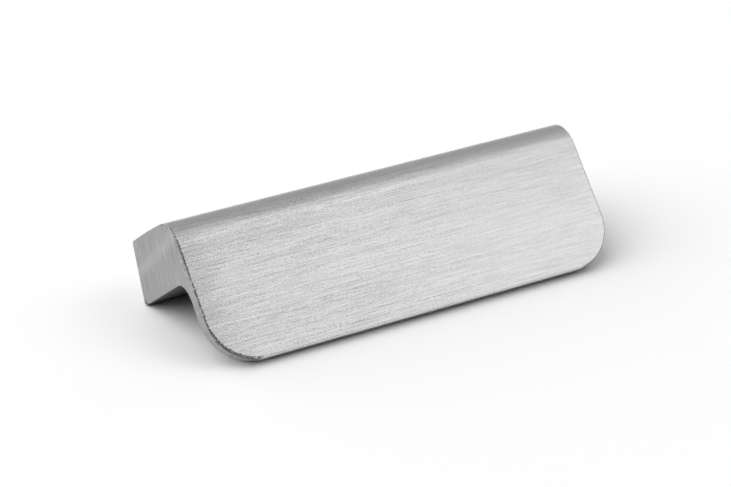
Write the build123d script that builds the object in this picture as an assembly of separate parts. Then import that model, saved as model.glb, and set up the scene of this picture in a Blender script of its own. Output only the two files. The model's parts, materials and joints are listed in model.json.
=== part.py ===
"""Cabinet pull handle: a bar of aluminium section with a block for the screws and a slanted finger flange."""

import os
from math import asin, atan2, cos, degrees, hypot, radians, sin, tan

from build123d import *

# Bar, millimetres
LENGTH = 120.0
MOUNT_FACE_HEIGHT = 17.6
TOP_DEPTH = 28.9
FACE_LENGTH = 40.6
FLANGE_THICKNESS = 4.0

# Slopes of the section, degrees, with the mounting face upright
TOP_SLOPE_REAR = 16.5
TOP_SLOPE_FRONT = 11.0
FACE_SLANT = 21.4
UNDERSIDE_RISE = 15.5

# Roundings, millimetres
KNUCKLE_RADIUS = 8.2
FOLD_RADIUS = 6.0
REAR_CORNER_RADIUS = 1.0
FLANGE_CORNER_RADIUS = 13.0
EDGE_RADIUS = 0.4

# Two blind holes for M4 screws, millimetres and degrees
SCREW_SPACING = 96.0
HOLE_RADIUS = 2.0
HOLE_DEPTH = 12.0
DRILL_POINT_ANGLE = 118.0
MOUTH_CHAMFER = 0.3

# Lengths closer than this are the same, millimetres
TOLERANCE = 0.01

# The section plane stands across the bar: its x points out of the furniture, its y points up
SECTION_PLANE = Plane(origin=(0, 0, 0), x_dir=(0, -1, 0), z_dir=(-1, 0, 0))
FACE_DOWN = Vector(sin(radians(FACE_SLANT)), -cos(radians(FACE_SLANT)))
FACE_INWARD = Vector(-cos(radians(FACE_SLANT)), -sin(radians(FACE_SLANT)))
UNDERSIDE_OUT = Vector(cos(radians(UNDERSIDE_RISE)), sin(radians(UNDERSIDE_RISE)))


def in_space(point, along=0.0):
    """Space position of a point of the section, at a distance along the bar."""
    return SECTION_PLANE.from_local_coords(Vector(point.X, point.Y, -along))


def crowned_top():
    """Gently crowned top, from the mounting face to the sharp front corner."""
    slope_change = TOP_SLOPE_REAR - TOP_SLOPE_FRONT
    return JernArc(
        start=(0, MOUNT_FACE_HEIGHT),
        tangent=(cos(radians(TOP_SLOPE_REAR)), sin(radians(TOP_SLOPE_REAR))),
        radius=TOP_DEPTH / radians(slope_change),
        arc_size=-slope_change,
    )


def sharp_corners():
    """Corners of the section before rounding: front top, face tip, inner tip and inner fold."""
    front_top = crowned_top() @ 1
    tip = front_top + FACE_DOWN * FACE_LENGTH
    inner_tip = tip + FACE_INWARD * FLANGE_THICKNESS
    # The underside runs out from the rear corner until it meets the inner face of the flange
    turn = UNDERSIDE_OUT.X * FACE_DOWN.Y - UNDERSIDE_OUT.Y * FACE_DOWN.X
    reach = (inner_tip.X * FACE_DOWN.Y - inner_tip.Y * FACE_DOWN.X) / turn
    return front_top, tip, inner_tip, UNDERSIDE_OUT * reach


def section():
    """Section of the bar, with its knuckle, inner fold and two rear corners rounded."""
    front_top, tip, inner_tip, fold = sharp_corners()
    rear_bottom = Vector(0, 0)
    rear_top = Vector(0, MOUNT_FACE_HEIGHT)
    rounding = (
        (front_top, KNUCKLE_RADIUS),
        (fold, FOLD_RADIUS),
        (rear_bottom, REAR_CORNER_RADIUS),
        (rear_top, REAR_CORNER_RADIUS),
    )
    with BuildSketch() as outline:
        with BuildLine():
            add(crowned_top())
            Polyline(front_top, tip, inner_tip, fold, rear_bottom, rear_top)
        make_face()
        for corner, radius in rounding:
            fillet(outline.vertices().sort_by_distance(corner)[0], radius)
    return outline.sketch


def bar():
    """Plain bar, the section carried along the whole length."""
    return extrude(SECTION_PLANE * section(), amount=LENGTH / 2, both=True)


def corner_offcut():
    """What a round corner leaves off the flange: a square less its quarter disc, through the thickness."""
    square = Rectangle(FLANGE_CORNER_RADIUS, FLANGE_CORNER_RADIUS, align=(Align.MIN, Align.MIN))
    return extrude(square - Circle(FLANGE_CORNER_RADIUS), amount=2 * FLANGE_THICKNESS, both=True)


def rounded_flange(body):
    """Bar with both lower corners of its flange rounded in the plane of the face."""
    tip = sharp_corners()[1]
    face_down = in_space(FACE_DOWN)
    for side in (-1, 1):
        outward = Vector(side, 0, 0)
        centre = in_space(tip, side * LENGTH / 2) - (outward + face_down) * FLANGE_CORNER_RADIUS
        body -= Plane(origin=centre, x_dir=outward, z_dir=outward.cross(face_down)) * corner_offcut()
    return body


def meets_at_an_angle(edge):
    """False for the smooth seams: full-length ones of the section, and those across a round corner."""
    full_length = abs(edge.length - LENGTH) < TOLERANCE
    across_flange = abs(edge.length - FLANGE_THICKNESS) < TOLERANCE
    return not (full_length or across_flange)


def eased(body):
    """Bar with the edges of its end faces and of the flange's tip broken by a small round."""
    return fillet(body.edges().filter_by(meets_at_an_angle), EDGE_RADIUS)


def screw_hole():
    """Blind hole, revolved: chamfered mouth at z = 0, plain wall and the cone that the drill leaves."""
    point_length = HOLE_RADIUS / tan(radians(DRILL_POINT_ANGLE / 2))
    profile = Polygon(
        (0, 0),
        (HOLE_RADIUS + MOUTH_CHAMFER, 0),
        (HOLE_RADIUS, -MOUTH_CHAMFER),
        (HOLE_RADIUS, -HOLE_DEPTH),
        (0, -HOLE_DEPTH - point_length),
        align=None,
    )
    return revolve(Plane.XZ * profile, axis=Axis.Z)


def drilled(body):
    """Bar with its two screw holes at mid-height of the mounting face."""
    middle = Vector(0, MOUNT_FACE_HEIGHT / 2)
    for side in (-1, 1):
        mouth = in_space(middle, side * SCREW_SPACING / 2)
        body -= Plane(origin=mouth, x_dir=(1, 0, 0), z_dir=(0, 1, 0)) * screw_hole()
    return body


def rest_tilt():
    """Angle by which the mounting face leans back when the rear corner and the tip lie on a level floor."""
    inner_tip = sharp_corners()[2]
    tip_centre = inner_tip - (FACE_INWARD + FACE_DOWN) * EDGE_RADIUS
    rear_height = REAR_CORNER_RADIUS * tan(radians(45 + UNDERSIDE_RISE / 2))
    reach = tip_centre - Vector(REAR_CORNER_RADIUS, rear_height)
    line_slope = atan2(reach.Y, reach.X)
    radius_step = asin((EDGE_RADIUS - REAR_CORNER_RADIUS) / hypot(reach.X, reach.Y))
    return degrees(radius_step - line_slope)


def laid_down(body):
    """Handle as it lies on a level floor, with the middle of its footprint over the origin."""
    leaning = body.rotate(Axis.X, -rest_tilt())
    box = leaning.bounding_box()
    return leaning.moved(Location((0, -box.center().Y, -box.min.Z)))


def pull_handle():
    """The whole handle, one solid."""
    return laid_down(drilled(eased(rounded_flange(bar()))))


if __name__ == "__main__":
    os.makedirs("parts", exist_ok=True)
    handle = pull_handle()
    handle.label = "pull_handle"
    export_step(handle, "parts/pull_handle.step")
    print(f"tilt {rest_tilt():.3f} degrees, box {handle.bounding_box().size}, valid {handle.is_valid}")
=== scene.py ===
"""Brushed aluminium furniture handle: its finish, its screw threads, and a pale stage to look at it on."""

import json
import math

import bpy
import numpy as np
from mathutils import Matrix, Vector


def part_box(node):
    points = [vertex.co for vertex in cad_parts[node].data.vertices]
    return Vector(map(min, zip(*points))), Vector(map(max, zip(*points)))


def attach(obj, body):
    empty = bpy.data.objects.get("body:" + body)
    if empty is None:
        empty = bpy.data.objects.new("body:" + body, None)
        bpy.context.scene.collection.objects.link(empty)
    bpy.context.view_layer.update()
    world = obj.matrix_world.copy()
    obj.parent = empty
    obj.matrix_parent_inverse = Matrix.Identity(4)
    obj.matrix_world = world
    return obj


bl_info = {
    "name": "Furniture handle",
    "version": (1, 0, 0),
    "blender": (4, 5, 0),
    "location": "3D View > Sidebar > Handle",
    "description": "Dresses a brushed aluminium cabinet pull and sets up a pale stage around it",
    "category": "Object",
}

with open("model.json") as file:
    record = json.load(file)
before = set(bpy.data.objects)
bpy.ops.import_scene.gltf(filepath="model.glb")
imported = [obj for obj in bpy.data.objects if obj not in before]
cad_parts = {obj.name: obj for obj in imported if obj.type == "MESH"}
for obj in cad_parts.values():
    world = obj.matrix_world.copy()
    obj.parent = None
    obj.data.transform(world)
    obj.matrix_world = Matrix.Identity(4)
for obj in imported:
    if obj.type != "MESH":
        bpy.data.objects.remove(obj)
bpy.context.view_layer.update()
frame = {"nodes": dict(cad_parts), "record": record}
HANDLE = "pull_handle"
MM = 0.001

# The handle's own sizes: the box and the screw pattern come from the frame
BOX_LOW, BOX_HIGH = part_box(HANDLE)
HALF_LENGTH = BOX_HIGH.x
MOUNTS = {mount["name"]: mount for mount in frame["record"]["mounts"]}
MOUNT_MIDDLE = Vector(MOUNTS["screw_holes"]["pos_m"])
MOUNT_NORMAL = Vector(MOUNTS["screw_holes"]["axis"]).normalized()
SCREW_SPACING = MOUNTS["screw_holes"]["dims"]["pcd_mm"] * MM
HOLE_RADIUS = MOUNTS["screw_holes"]["dims"]["hole_r_mm"] * MM
FACE_SLANT = math.radians(21.4)
UNDERSIDE_RISE = math.radians(15.5)
TOP_SLOPE_FRONT = math.radians(11.0)
MOUNT_FACE_HEIGHT = 17.6 * MM
FACE_LENGTH = 40.6 * MM
FLANGE_THICKNESS = 4.0 * MM
FLANGE_CORNER_RADIUS = 13.0 * MM
KNUCKLE_RADIUS = 8.2 * MM
EDGE_RADIUS = 0.4 * MM

# Directions across the handle, as it lies: up its mounting face, out of its front face, up that face
# and out of its block's underside
TILT = math.atan2(-MOUNT_NORMAL.z, MOUNT_NORMAL.y)
MOUNT_UP = Vector((0.0, math.sin(TILT), math.cos(TILT)))
LEAN = TILT + FACE_SLANT
FACE_NORMAL = Vector((0.0, -math.cos(LEAN), math.sin(LEAN)))
FACE_UP = Vector((0.0, math.sin(LEAN), math.cos(LEAN)))
UNDERSIDE_NORMAL = Vector((0.0, -math.sin(TILT + UNDERSIDE_RISE), -math.cos(TILT + UNDERSIDE_RISE)))

# The box touches the rounded outer corner of the tip in front and the rounded inner one below
TIP_CENTRE = Vector(
    (
        0.0,
        BOX_LOW.y + EDGE_RADIUS,
        BOX_LOW.z + EDGE_RADIUS + (FLANGE_THICKNESS - 2 * EDGE_RADIUS) * math.sin(LEAN),
    )
)
REAR_CORNER = MOUNT_MIDDLE - MOUNT_UP * (MOUNT_FACE_HEIGHT / 2)
# How far up the face from the tip's centre the knuckle starts
KNUCKLE_TURN = math.pi / 2 - FACE_SLANT + TOP_SLOPE_FRONT
KNUCKLE_START = FACE_LENGTH - EDGE_RADIUS - KNUCKLE_RADIUS * math.tan(KNUCKLE_TURN / 2)
# The arc of the knuckle is followed until it is nearly square to the face
KNUCKLE_REACH = 0.95 * KNUCKLE_RADIUS

# Every zone of the handle's surface sets in between two places, as follows.
# The ends: insets from the outline
END_INSETS = (0.16 * MM, 0.05 * MM)
# The straight tip, which is brushed like the face: past the round corners' centres, along and down
TIP_ALONG = (3 * MM, 0.5 * MM)
TIP_DOWN = (0.8 * FLANGE_CORNER_RADIUS, 0.9 * FLANGE_CORNER_RADIUS)
# The gap: depths behind the face
GAP_DEPTHS = (FLANGE_THICKNESS - 0.45 * MM, FLANGE_THICKNESS - 0.25 * MM)
# The block's underside, in the gap, and the back: distances out of them, less than 0 in the metal
SKIN = (-0.2 * MM, -0.05 * MM)
# The screw holes: distances from their axis, past the chamfer, and from the back, past the drill's point
BORE_WALL = (HOLE_RADIUS + 0.34 * MM, HOLE_RADIUS + 0.3 * MM)
BORE_END = (-14 * MM, -13.5 * MM)
# The knuckle, for the shades of its edges: heights up the face
FACE_TO_KNUCKLE = (38 * MM, 39.5 * MM)
# The sharp brush marks: places along the handle. The faint ones: heights up the face
SOFT_TO_SHARP = (70 * MM, -30 * MM)
STRONG_TO_FAINT = (36 * MM, 39 * MM)

NICK_COLOUR = (0.95, 0.95, 0.95, 1.0)
WHITE = (1.0, 1.0, 1.0, 1.0)
SENSOR_WIDTH = 36.0


def bearing(azimuth, elevation):
    """Direction at an azimuth, counted from +X towards +Y, and an elevation, both in degrees."""
    turn, rise = math.radians(azimuth), math.radians(elevation)
    return Vector((math.cos(rise) * math.cos(turn), math.cos(rise) * math.sin(turn), math.sin(rise)))


# The patches of the room, seen from the handle: the way to their middle, and their outer and inner
# radius in degrees
KEY_PATCH = (bearing(-35, 48), 33, 4)
WALL_PATCH = (bearing(135, 8), 54, 43)
HIGH_PATCH = (bearing(-179, 54), 35, 28)
DARK_PATCH = (bearing(-86, -10), 102, 82)
# Heights, as the sine of the elevation, between which the dark patch sets in above the horizon
DARK_RISE = (0.03, 0.16)


class Value:
    """An output socket of a shader tree. Arithmetic on a number adds Math nodes."""

    def __init__(self, tree, socket):
        self.tree = tree
        self.socket = socket

    def _math(self, operation, *values):
        return self.tree.node("ShaderNodeMath", {"operation": operation}, dict(enumerate(values)))

    def __add__(self, other):
        return self._math("ADD", self, other)

    def __radd__(self, other):
        return self._math("ADD", other, self)

    def __sub__(self, other):
        return self._math("SUBTRACT", self, other)

    def __rsub__(self, other):
        return self._math("SUBTRACT", other, self)

    def __mul__(self, other):
        return self._math("MULTIPLY", self, other)

    def __rmul__(self, other):
        return self._math("MULTIPLY", other, self)

    def __truediv__(self, other):
        return self._math("DIVIDE", self, other)

    def __pow__(self, other):
        return self._math("POWER", self, other)

    def __abs__(self):
        return self._math("ABSOLUTE", self)

    def at_least(self, other):
        """The larger of this value and another."""
        return self._math("MAXIMUM", self, other)

    def at_most(self, other):
        """The smaller of this value and another."""
        return self._math("MINIMUM", self, other)

    def step(self, start, end, low=0.0, high=1.0):
        """Smooth step from low at start to high at end, and constant outside them."""
        return self.tree.node(
            "ShaderNodeMapRange",
            {"interpolation_type": "SMOOTHSTEP"},
            {"Value": self, "From Min": start, "From Max": end, "To Min": low, "To Max": high},
        )


class ShaderTree:
    """The node tree of a material or world, emptied, with one method that adds any node."""

    def __init__(self, owner):
        owner.use_nodes = True
        self.nodes = owner.node_tree.nodes
        self.links = owner.node_tree.links
        self.nodes.clear()

    def node(self, kind, settings=None, inputs=None, output=0):
        """Adds a node, sets its settings, then its sockets' values or links, and returns one output."""
        made = self.nodes.new(kind)
        for name, setting in (settings or {}).items():
            setattr(made, name, setting)
        for key, value in (inputs or {}).items():
            if isinstance(value, Value):
                self.links.new(value.socket, made.inputs[key])
            else:
                made.inputs[key].default_value = value
        return Value(self, made.outputs[output]) if made.outputs else None

    def place(self):
        """Object coordinates, in metres, in the frame of the handle."""
        return self.node("ShaderNodeTexCoord", output="Object")

    def dot(self, vector, direction):
        """Length of a vector along a direction."""
        inputs = {0: vector, 1: tuple(direction)}
        return self.node("ShaderNodeVectorMath", {"operation": "DOT_PRODUCT"}, inputs, "Value")

    def axis(self, vector, name):
        """One part of a vector, by the name X, Y or Z."""
        return self.node("ShaderNodeSeparateXYZ", None, {"Vector": vector}, name)

    def combine(self, x, y, z):
        """A vector of three values."""
        return self.node("ShaderNodeCombineXYZ", None, {"X": x, "Y": y, "Z": z})

    def noise(self, vector, detail=2.0, roughness=0.6):
        """Noise of -1 to 1 at one cycle to the unit."""
        settings = {"noise_dimensions": "3D", "normalize": True}
        inputs = {"Vector": vector, "Scale": 1.0, "Detail": detail, "Roughness": roughness}
        return (self.node("ShaderNodeTexNoise", settings, inputs, "Fac") - 0.5) * 2.0

    def mix(self, factor, first, second, blend="MIX"):
        """Colour between first, at factor 0, and second, at factor 1."""
        settings = {"data_type": "RGBA", "blend_type": blend, "clamp_factor": True}
        return self.node("ShaderNodeMix", settings, {0: factor, 6: first, 7: second}, 2)

    def shaded(self, colour, level):
        """A colour times a value."""
        grey = self.node("ShaderNodeCombineColor", None, {"Red": level, "Green": level, "Blue": level})
        return self.mix(1.0, colour, grey, "MULTIPLY")

    def end(self, shader, kind="ShaderNodeOutputMaterial"):
        """Feeds a shader to the tree's output."""
        self.node(kind, None, {"Surface": shader})

    def end_in_metal(self, inputs):
        """Ends the tree in bare metal with these inputs."""
        self.end(self.node("ShaderNodeBsdfPrincipled", None, {"Metallic": 1.0, **inputs}))


def tint(colour):
    """A colour property as four numbers for a colour socket."""
    return (colour[0], colour[1], colour[2], 1.0)


class HandleFinish(bpy.types.PropertyGroup):
    """Colours and sizes of the metal's finishes. The end, edge and gap colours carry painted shade."""

    face_colour: bpy.props.FloatVectorProperty(
        name="Face colour",
        description="Reflected colour of the brushed long faces",
        subtype="COLOR",
        size=3,
        min=0.0,
        max=1.0,
        default=(0.8, 0.8, 0.8),
    )
    # Painted shade: this colour is darker than the faces' for the shade that the end faces show
    end_colour: bpy.props.FloatVectorProperty(
        name="End colour",
        description="Reflected colour of the finely ground end faces",
        subtype="COLOR",
        size=3,
        min=0.0,
        max=1.0,
        default=(0.387, 0.387, 0.387),
    )
    # Painted shade: this colour turns the rounded edge round the left end of the face into a ragged dark
    # line
    edge_colour: bpy.props.FloatVectorProperty(
        name="Edge colour",
        description="Reflected colour of the dull burr round the left end of the face",
        subtype="COLOR",
        size=3,
        min=0.0,
        max=1.0,
        default=(0.12, 0.12, 0.12),
    )
    # Painted shade: this dark colour stands for the shade inside the finger gap, on its extruded finish
    gap_colour: bpy.props.FloatVectorProperty(
        name="Gap colour",
        description="Reflected colour of the finger gap, which stays as extruded",
        subtype="COLOR",
        size=3,
        min=0.0,
        max=1.0,
        default=(0.2, 0.2, 0.2),
    )
    back_colour: bpy.props.FloatVectorProperty(
        name="Back colour",
        description="Reflected colour of the mounting face, which stays as extruded",
        subtype="COLOR",
        size=3,
        min=0.0,
        max=1.0,
        default=(0.56, 0.56, 0.56),
    )
    streak_length: bpy.props.FloatProperty(
        name="Streak length",
        description="Typical length of one brush streak along the handle",
        default=28 * MM,
        min=MM,
        unit="LENGTH",
    )
    streak_width: bpy.props.FloatProperty(
        name="Streak width",
        description="Typical width of one brush streak",
        default=0.28 * MM,
        min=0.05 * MM,
        unit="LENGTH",
    )
    grain_width: bpy.props.FloatProperty(
        name="Grain width",
        description="Width of the speckle and the short dashes between the streaks",
        default=0.22 * MM,
        min=0.1 * MM,
        unit="LENGTH",
    )
    contrast: bpy.props.FloatProperty(
        name="Contrast",
        description="Strength of the brush marks in the colour",
        default=1.0,
        min=0.0,
        max=2.0,
    )
    mark_height: bpy.props.FloatProperty(
        name="Mark height",
        description="Height of the brush marks, for the bump",
        default=0.01 * MM,
        min=0.0,
        precision=6,
        unit="LENGTH",
    )
    roughness: bpy.props.FloatProperty(
        name="Roughness",
        description="Mean roughness of the brushed faces",
        default=0.35,
        min=0.0,
        max=1.0,
        subtype="FACTOR",
    )


class HandleThreads(bpy.types.PropertyGroup):
    """Sizes of the M4 threads inside the two screw holes."""

    pitch: bpy.props.FloatProperty(
        name="Pitch",
        description="Rise of the thread in one turn",
        default=0.7 * MM,
        min=0.2 * MM,
        unit="LENGTH",
    )
    crest_radius: bpy.props.FloatProperty(
        name="Crest radius",
        description="Radius of the opening that the crests leave",
        default=1.62 * MM,
        min=0.5 * MM,
        unit="LENGTH",
    )
    start_depth: bpy.props.FloatProperty(
        name="Start depth",
        description="Depth of the first full turn below the mounting face",
        default=0.55 * MM,
        min=0.0,
        unit="LENGTH",
    )
    turns: bpy.props.FloatProperty(
        name="Turns",
        description="Number of turns",
        default=14.0,
        min=1.0,
    )


class HandleStage(bpy.types.PropertyGroup):
    """Floor, lit room and camera."""

    floor_colour: bpy.props.FloatVectorProperty(
        name="Floor colour",
        description="Colour of the pale floor",
        subtype="COLOR",
        size=3,
        min=0.0,
        max=1.0,
        default=(0.9, 0.9, 0.9),
    )
    floor_lift: bpy.props.FloatProperty(
        name="Floor lift",
        description="How many times paler the camera and the metal see the floor than it lights",
        default=1.68,
        min=1.0,
    )
    floor_reach: bpy.props.FloatProperty(
        name="Floor reach",
        description="Half the side of the square floor",
        default=3.0,
        min=0.5,
        unit="LENGTH",
    )
    room_level: bpy.props.FloatProperty(
        name="Room level",
        description="Brightness of the grey room around the stage",
        default=0.388,
        min=0.0,
    )
    dark_share: bpy.props.FloatProperty(
        name="Dark share",
        description="How much darker the front half of the room is, where the camera stands",
        default=0.97,
        min=0.0,
        max=1.0,
        subtype="FACTOR",
    )
    key_level: bpy.props.FloatProperty(
        name="Key level",
        description="Brightness of the soft light in front on the right",
        default=1.12,
        min=0.0,
    )
    fill_level: bpy.props.FloatProperty(
        name="Fill level",
        description="Brightness of the two soft lights, low behind and high on the left",
        default=1.25,
        min=0.0,
    )
    focal_length: bpy.props.FloatProperty(
        name="Focal length",
        description="Focal length of the camera, in millimetres, on a sensor 36 mm wide",
        default=129.47,
        min=10.0,
    )
    camera_place: bpy.props.FloatVectorProperty(
        name="Camera place",
        description="Where the camera stands",
        subtype="TRANSLATION",
        size=3,
        default=(-0.3096, -0.5388, 0.3299),
        unit="LENGTH",
    )
    camera_turn: bpy.props.FloatVectorProperty(
        name="Camera turn",
        description="Turn of the camera about X, Y and Z",
        subtype="EULER",
        size=3,
        default=(math.radians(62.835), math.radians(0.345), math.radians(-29.736)),
    )


def grid_mesh(name, points, is_tube=False):
    """Mesh object of a grid of points, shaped rows by columns by 3, with a quad between neighbours.

    A tube's last column joins its first one, and a polygon closes each of its two ends.
    """
    rows, columns = points.shape[:2]
    index = np.arange(rows * columns).reshape(rows, columns)
    ring = np.hstack([index, index[:, :1]]) if is_tube else index
    quads = np.stack([ring[:-1, :-1], ring[1:, :-1], ring[1:, 1:], ring[:-1, 1:]], axis=-1)
    faces = quads.reshape(-1, 4).tolist()
    if is_tube:
        faces += [index[0].tolist(), index[-1, ::-1].tolist()]
    mesh = bpy.data.meshes.new(name)
    mesh.from_pydata(points.reshape(-1, 3).tolist(), [], faces)
    mesh.update()
    made = bpy.data.objects.new(name, mesh)
    bpy.context.scene.collection.objects.link(made)
    return made


def thread_points(centre, sizes):
    """Points of a thread ridge: a flat-topped triangular profile carried along a helix.

    At turn t the profile stands in the plane through the hole's axis at angle 2 pi t, at depth
    start + pitch t. Its base lies just inside the wall, its crest at the crest radius, and at both ends
    the crest sinks almost to the base along the smooth step 3 s^2 - 2 s^3, as a tap runs out.
    """
    steps_per_turn = 40
    run_out_turns, sunk_share = 0.6, 0.93
    base = HOLE_RADIUS + 0.03 * MM
    height = base - sizes.crest_radius
    half_base, half_crest = 0.46 * sizes.pitch, 0.08 * sizes.pitch
    turn = np.linspace(0.0, sizes.turns, int(sizes.turns * steps_per_turn) + 1)
    full = np.clip(np.minimum(turn, sizes.turns - turn) / run_out_turns, 0.0, 1.0)
    full = full * full * (3.0 - 2.0 * full)
    profile_radius = np.array([base, base, base - height, base - height])
    profile_depth = np.array([half_base, -half_base, -half_crest, half_crest])
    is_crest = np.array([0.0, 0.0, 1.0, 1.0])
    radius = profile_radius + (1.0 - full[:, None]) * height * is_crest * sunk_share
    depth = sizes.start_depth + sizes.pitch * turn[:, None] + profile_depth
    angle = 2.0 * np.pi * turn[:, None]
    across, inward, up = np.array([1.0, 0.0, 0.0]), -np.array(MOUNT_NORMAL), np.array(MOUNT_UP)
    return (
        np.array(centre)
        + (radius * np.cos(angle))[..., None] * across
        + (radius * np.sin(angle))[..., None] * up
        + depth[..., None] * inward
    )


def floor_points(reach):
    """Points of a square floor at z = 0.

    Its rows and columns stand at reach times the cubes of even steps from -1 to 1, closest at the middle.
    """
    lines = 41
    line = reach * np.linspace(-1.0, 1.0, lines) ** 3
    y, x = np.meshgrid(line, line, indexing="ij")
    return np.stack([x, -y, np.zeros_like(x)], axis=-1)


class HandlePlaces:
    """Where a point of the handle lies, as values of a shader tree.

    Distances are in metres, and zones run from 0 outside to 1 inside.
    """

    def __init__(self, tree):
        self.tree = tree
        self.place = tree.place()
        self.along = tree.axis(self.place, "X")
        self.above_floor = tree.axis(self.place, "Z")
        self.up_face = self.beyond(TIP_CENTRE, FACE_UP)
        self.behind_face = self.beyond(TIP_CENTRE + FACE_NORMAL * EDGE_RADIUS, -FACE_NORMAL)
        self.behind_back = self.beyond(MOUNT_MIDDLE, MOUNT_NORMAL)
        self.behind_front = self.behind_face - self.knuckle_drop()
        self.place_on_outline()
        self.zone_the_finishes()

    def beyond(self, origin, direction):
        """How far a point lies beyond an origin, along a direction."""
        return self.tree.dot(self.place, direction) - Vector(origin).dot(direction)

    def knuckle_drop(self):
        """How far the knuckle drops behind the face's plane, at s past its start: r - sqrt(r^2 - s^2)."""
        past_start = (self.up_face - KNUCKLE_START).at_least(0.0).at_most(KNUCKLE_REACH)
        return KNUCKLE_RADIUS - (KNUCKLE_RADIUS**2 - past_start * past_start) ** 0.5

    def place_on_outline(self):
        """Place on the rounded outline of the front face, seen square to that face.

        over_end and over_tip are how far a point lies past the centre of the nearest round corner,
        towards the end of the handle and towards the tip, and at least 0. inset is how far inside the
        outline it lies: the corner's radius less the length of those two.
        """
        self.over_end = (abs(self.along) - (HALF_LENGTH - FLANGE_CORNER_RADIUS)).at_least(0.0)
        self.over_tip = (FLANGE_CORNER_RADIUS - EDGE_RADIUS - self.up_face).at_least(0.0)
        off_centre = (self.over_end * self.over_end + self.over_tip * self.over_tip) ** 0.5
        self.inset = FLANGE_CORNER_RADIUS - off_centre

    def zone_the_finishes(self):
        """Zones of the finishes. The gap and the back leave out the ends, and what is left is brushed."""
        self.at_tip = self.over_end.step(*TIP_ALONG) * self.over_tip.step(*TIP_DOWN)
        self.end = self.inset.step(*END_INSETS) * (1.0 - self.at_tip)
        not_end = 1.0 - self.end
        below_block = self.beyond(REAR_CORNER, UNDERSIDE_NORMAL)
        self.gap = self.behind_face.step(*GAP_DEPTHS) * below_block.step(*SKIN) * not_end
        self.back = self.behind_back.step(*SKIN) * not_end
        self.extruded = self.gap.at_least(self.back)
        self.brushed = not_end * (1.0 - self.extruded)
        up_back = self.beyond(MOUNT_MIDDLE, MOUNT_UP)
        off_hole = abs(self.along) - SCREW_SPACING / 2
        off_axis = (off_hole * off_hole + up_back * up_back) ** 0.5
        self.bored = off_axis.step(*BORE_WALL) * self.behind_back.step(*BORE_END)
        self.on_knuckle = self.up_face.step(*FACE_TO_KNUCKLE)

    def noise(self, length, width, detail=0.0, roughness=0.5):
        """Noise of -1 to 1 whose cells are length long along the handle and width across."""
        scale = (1.0 / length, 1.0 / width, 1.0 / width)
        cells = self.tree.node("ShaderNodeVectorMath", {"operation": "MULTIPLY"}, {0: self.place, 1: scale})
        return self.tree.noise(cells, detail, roughness)


def brush_marks(where, finish):
    """Marks along the handle, in its colour and in its height, of about -1 to 1.

    Speckle, dashes and streaks are added, each times its strength, once for the sharp left end and once
    for the soft right one. Broad bands add to the colour, and long scratches take away from both.
    """
    fine, coarse = finish.grain_width, 2.8 * finish.grain_width
    streak = where.noise(finish.streak_length, finish.streak_width, detail=1.0, roughness=0.6)
    speckle = where.noise(length=0.33 * MM, width=fine)
    dash = where.noise(length=7 * MM, width=fine, detail=1.0)
    sharp_marks = speckle * 0.52 + dash * 0.4 + streak * 0.37
    speckle = where.noise(length=0.8 * MM, width=coarse)
    dash = where.noise(length=9 * MM, width=coarse, detail=1.0)
    soft_marks = speckle * 0.1 + dash * 0.19 + streak * 0.11
    sharp = where.along.step(*SOFT_TO_SHARP)
    marks = sharp_marks * sharp + soft_marks * (1.0 - sharp)

    band = where.noise(length=45 * MM, width=4 * MM, detail=1.0)
    scratch = where.noise(length=26 * MM, width=0.3 * MM, detail=1.0).step(0.38, 0.56)
    # Where the marks are soft, a quarter of the scratches' strength stays
    scratch_strength = sharp.step(-0.5, 1.0) * 0.3
    # The marks are fainter on the knuckle and the top
    strength = where.up_face.step(*STRONG_TO_FAINT, 1.0, 0.5)
    colour = (marks + band * 0.05 - scratch * scratch_strength) * strength
    height = marks * 1.5 - scratch * 0.6
    return colour, height


def ground_marks(where):
    """Fine parallel marks of -1 to 1 on the end faces, which run up along the mounting face."""
    tree = where.tree
    length, width, depth = 9 * MM, 0.45 * MM, 0.3 * MM
    out = tree.dot(where.place, -MOUNT_NORMAL) / width
    up = tree.dot(where.place, MOUNT_UP) / length
    return tree.noise(tree.combine(out, up, where.along / depth))


def burr_shade_and_nicks(where, crumbs):
    """Shares of the ragged dark line that edges the face at its left end, and of the bright nicks in it.

    The line is a dull burr, darkened with painted shade of the rounded edge. It reaches back from the front
    by a width that grows round the corner, and the crumbs shift both of its limits. Flakes of it are
    missing, fewer of them round the corner, and nicks lie there.
    """
    flakes = where.noise(length=0.9 * MM, width=0.9 * MM)
    round_corner = where.over_tip / FLANGE_CORNER_RADIUS
    left = where.along.step(0.0, -10 * MM) * (1.0 - where.on_knuckle) * where.over_end.step(0.5 * MM, 3 * MM)
    near_edge = (where.inset + crumbs * (0.35 * MM)).step(0.6 * MM, 0.4 * MM) * left
    width = round_corner.step(0.1, 0.7, 0.35 * MM, 1.15 * MM)
    burr_and_shade = (width - where.behind_front + crumbs * (0.5 * MM)).step(-0.1 * MM, 0.3 * MM) * near_edge
    burr_and_shade = burr_and_shade * (flakes + round_corner).step(-0.55, -0.3)
    at_front = near_edge * where.behind_front.step(0.8 * MM, 0.4 * MM)
    nicks = at_front * flakes.step(-0.42, -0.5) * crumbs.step(0.0, 0.2)
    return burr_and_shade, nicks


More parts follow.
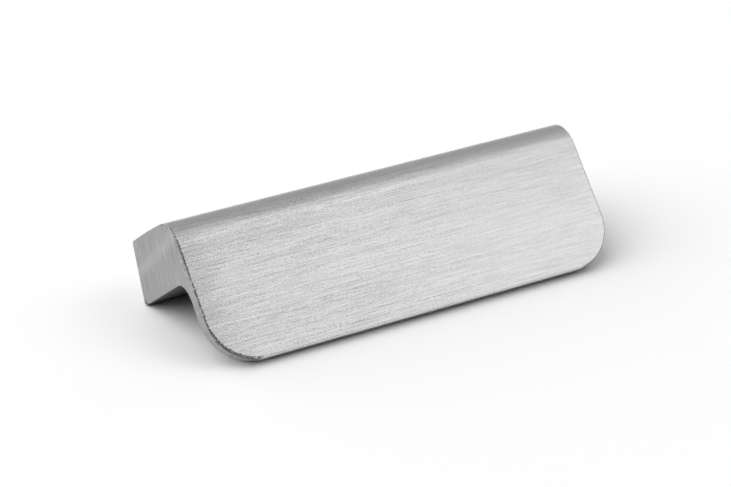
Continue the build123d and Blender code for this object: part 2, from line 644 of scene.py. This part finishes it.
def local_shade(where):
    """Level of the metal by its place, with painted shade and painted highlight that the room's light
    doesn't give.

    It is the product, over the zones, of 1 plus the zone times its change of level.
    """
    face, along = where.up_face, where.along
    # Painted light: the lower face is a little paler, and the top of the face a little darker
    lower_face = face.step(30 * MM, 14 * MM)
    upper_face = face.step(27 * MM, 33 * MM)
    # Painted highlight: the face is paler where it turns into the knuckle, lower down on the left
    turn = face - along.step(-30 * MM, 10 * MM) * (0.9 * MM)
    turning = turn.step(33.6 * MM, 35.4 * MM) * turn.step(38.2 * MM, 36.6 * MM)
    # Painted shade: the face beside the left end is a little darker
    beside_left_end = along.step(-HALF_LENGTH + 12 * MM, -HALF_LENGTH) * face.step(37 * MM, 34 * MM)
    # Painted contact shade: the tip and the ends darken towards the floor
    tip_near_floor = where.at_tip * where.above_floor.step(2.6 * MM, 0.0)
    end_near_floor = where.end * where.above_floor.step(1.9 * MM, 0.3 * MM)
    # Painted shade: the rounded edge of the ends is darkened to a thin grey line on the knuckle and on the
    # right
    edge = where.inset.step(0.4 * MM, 0.25 * MM) * where.inset.step(0.0, 0.04 * MM)
    below_knuckle = (1.0 - where.on_knuckle) * (1.0 - where.at_tip)
    changes = (
        (lower_face, 0.07),
        (upper_face, -0.05),
        (turning, 0.14),
        (beside_left_end * (1.0 - where.end), -0.18),
        (tip_near_floor, -0.48),
        (end_near_floor, -0.7),
        (edge * where.on_knuckle, -0.4),
        (edge * along.step(0.0, 10 * MM) * below_knuckle, -0.45),
    )
    level = 1.0
    for zone, change in changes:
        level = level * (1.0 + zone * change)
    return level


def handle_metal(finish):
    """Material of the handle.

    It is brushed along its length outside, ground on its ends, left as extruded in the finger gap and on
    the mounting face, and cut bright in the screw holes. The ends and the gap are darker with painted
    shade, and a ragged dark line, a dull burr with painted shade, edges the left end of the face.
    """
    material = bpy.data.materials.new("handle_brushed_aluminium")
    tree = ShaderTree(material)
    where = HandlePlaces(tree)
    marks, height = brush_marks(where, finish)
    ground = ground_marks(where)
    die_line = where.noise(length=400 * MM, width=0.5 * MM, detail=3.0, roughness=0.6)
    crumbs = where.noise(length=0.4 * MM, width=0.3 * MM, detail=1.0)
    pits = where.noise(length=0.7 * MM, width=0.75 * MM, detail=1.0)
    burr_and_shade, nicks = burr_shade_and_nicks(where, crumbs)

    # The ends are pitted, most of all near the front
    pitted = where.end * (0.05 + where.behind_front.step(3.6 * MM, 1.6 * MM) * 0.6)
    level = 1.0 + marks * finish.contrast * where.brushed + die_line * where.extruded * 0.14
    # local_shade multiplies in painted shade and painted highlight by place
    level = (level + ground * where.end * 0.46 + pits * pitted) * local_shade(where)
    # Painted shade: the end faces take their darker end colour
    colour = tree.mix(where.end, tint(finish.face_colour), tint(finish.end_colour))
    # Painted shade: the finger gap takes its dark gap colour
    colour = tree.mix(where.gap, colour, tint(finish.gap_colour))
    colour = tree.mix(where.back, colour, tint(finish.back_colour))
    colour = tree.mix(where.bored, colour, tint(finish.face_colour))
    colour = tree.shaded(colour, level)
    # Painted shade: the ragged dark line of the burr along the rounded edge at the left end
    colour = tree.mix(burr_and_shade * (0.8 - crumbs * 2.0), colour, tint(finish.edge_colour))
    colour = tree.mix(nicks, colour, NICK_COLOUR)

    roughness = finish.roughness + marks * where.brushed * 0.06 + where.end * 0.1
    roughness = roughness + where.extruded * 0.12 - where.bored * 0.15 + burr_and_shade * 0.2
    relief = height * where.brushed + die_line * where.extruded * 0.5 + ground * where.end * 0.4
    bump = {"Strength": 1.0, "Distance": finish.mark_height, "Height": relief}
    normal = tree.node("ShaderNodeBump", None, bump)
    tree.end_in_metal({"Base Color": colour, "Roughness": roughness, "Normal": normal})
    return material


def cut_metal(finish):
    """Material of the threads: bright cut metal with fine rings along the tap's path."""
    material = bpy.data.materials.new("handle_cut_thread")
    tree = ShaderTree(material)
    ring_width = 0.06 * MM
    depth = tree.dot(tree.place(), MOUNT_NORMAL) / ring_width
    rings = tree.noise(tree.combine(depth, 0.0, 0.0))
    colour = tree.shaded(tint(finish.face_colour), 0.95 + rings * 0.15)
    tree.end_in_metal({"Base Color": colour, "Roughness": 0.28 + rings * 0.075})
    return material


def pale_floor(stage):
    """Material of the floor: matt, and paler to the camera and in the metal than it lights."""
    material = bpy.data.materials.new("stage_pale_floor")
    tree = ShaderTree(material)
    is_camera, is_glossy, is_transmission, diffuse_depth = (
        tree.node("ShaderNodeLightPath", output=name)
        for name in ("Is Camera Ray", "Is Glossy Ray", "Is Transmission Ray", "Diffuse Depth")
    )
    # The floor that the metal throws back onto the floor isn't lifted
    is_reflected = is_glossy.at_least(is_transmission) * (1.0 - diffuse_depth.at_most(1.0))
    lifted = [level * stage.floor_lift for level in stage.floor_colour]
    colour = tree.mix(is_camera.at_least(is_reflected), tint(stage.floor_colour), tint(lifted))
    tree.end(tree.node("ShaderNodeBsdfDiffuse", None, {"Color": colour}))
    return material


def patch(tree, way, middle, outer, inner):
    """Share of a round patch of the room: 1 within its inner radius and 0 beyond its outer one."""
    return tree.dot(way, middle).step(math.cos(math.radians(outer)), math.cos(math.radians(inner)))


def studio_room(stage):
    """World: a grey room with three soft lights, dark in front above its horizon."""
    world = bpy.data.worlds.new("stage_room")
    tree = ShaderTree(world)
    way = tree.node("ShaderNodeTexCoord", output="Generated")
    # The dark patch leaves a paler strip at the horizon, which low views see behind the floor
    dark = patch(tree, way, *DARK_PATCH) * tree.axis(way, "Z").step(*DARK_RISE)
    level = stage.room_level * (1.0 - dark * stage.dark_share)
    fill = patch(tree, way, *WALL_PATCH).at_least(patch(tree, way, *HIGH_PATCH))
    level = level + (stage.fill_level - level) * fill
    level = level + (stage.key_level - level) * patch(tree, way, *KEY_PATCH)
    room = tree.node("ShaderNodeBackground", None, {"Color": WHITE, "Strength": level})
    tree.end(room, "ShaderNodeOutputWorld")
    return world


class HANDLE_OT_brush(bpy.types.Operator):
    """Gives the handle its brushed finish"""

    bl_idname = "handle.brush"
    bl_label = "Brush the handle"

    def execute(self, context):
        handle = frame["nodes"][HANDLE]
        material = handle_metal(context.scene.handle_finish)
        for slot in handle.material_slots:
            slot.material = material
        return {"FINISHED"}


class HANDLE_OT_tap(bpy.types.Operator):
    """Cuts the threads of the two screw holes"""

    bl_idname = "handle.tap"
    bl_label = "Tap the screw holes"

    def execute(self, context):
        material = cut_metal(context.scene.handle_finish)
        for name, side in (("screw_thread_left", -1), ("screw_thread_right", 1)):
            centre = MOUNT_MIDDLE + Vector((side * SCREW_SPACING / 2, 0.0, 0.0))
            points = thread_points(centre, context.scene.handle_threads)
            thread = grid_mesh(name, points, is_tube=True)
            thread.data.shade_smooth()
            thread.data.materials.append(material)
            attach(thread, "root")
        return {"FINISHED"}


class HANDLE_OT_stage(bpy.types.Operator):
    """Sets up the floor, the lit room and the camera"""

    bl_idname = "handle.stage"
    bl_label = "Set the stage"

    def execute(self, context):
        scene = context.scene
        stage = scene.handle_stage
        floor = grid_mesh("stage_floor", floor_points(stage.floor_reach))
        floor.data.materials.append(pale_floor(stage))
        scene.world = studio_room(stage)
        camera = bpy.data.cameras.new("stage_camera")
        camera.sensor_fit = "HORIZONTAL"
        camera.sensor_width = SENSOR_WIDTH
        camera.lens = stage.focal_length
        made = bpy.data.objects.new("stage_camera", camera)
        made.location = stage.camera_place
        made.rotation_euler = stage.camera_turn
        scene.collection.objects.link(made)
        scene.camera = made
        scene.view_settings.view_transform = "Standard"
        return {"FINISHED"}


class HANDLE_PT_steps(bpy.types.Panel):
    """Steps that dress the handle"""

    bl_idname = "HANDLE_PT_steps"
    bl_label = "Furniture handle"
    bl_space_type = "VIEW_3D"
    bl_region_type = "UI"
    bl_category = "Handle"

    def draw(self, context):
        for step in (HANDLE_OT_brush, HANDLE_OT_tap, HANDLE_OT_stage):
            self.layout.operator(step.bl_idname)
        for group in GROUPS:
            settings = getattr(context.scene, group)
            for name in settings.bl_rna.properties.keys():
                if name not in ("rna_type", "name"):
                    self.layout.prop(settings, name)


GROUPS = {
    "handle_finish": HandleFinish,
    "handle_threads": HandleThreads,
    "handle_stage": HandleStage,
}
CLASSES = (*GROUPS.values(), HANDLE_OT_brush, HANDLE_OT_tap, HANDLE_OT_stage, HANDLE_PT_steps)


def register():
    for each in CLASSES:
        bpy.utils.register_class(each)
    for name, group in GROUPS.items():
        setattr(bpy.types.Scene, name, bpy.props.PointerProperty(type=group))


def unregister():
    for name in GROUPS:
        delattr(bpy.types.Scene, name)
    for each in reversed(CLASSES):
        bpy.utils.unregister_class(each)


def main():
    register()
    bpy.ops.handle.brush()
    bpy.ops.handle.tap()
    bpy.ops.handle.stage()


if __name__ == "__main__":
    main()
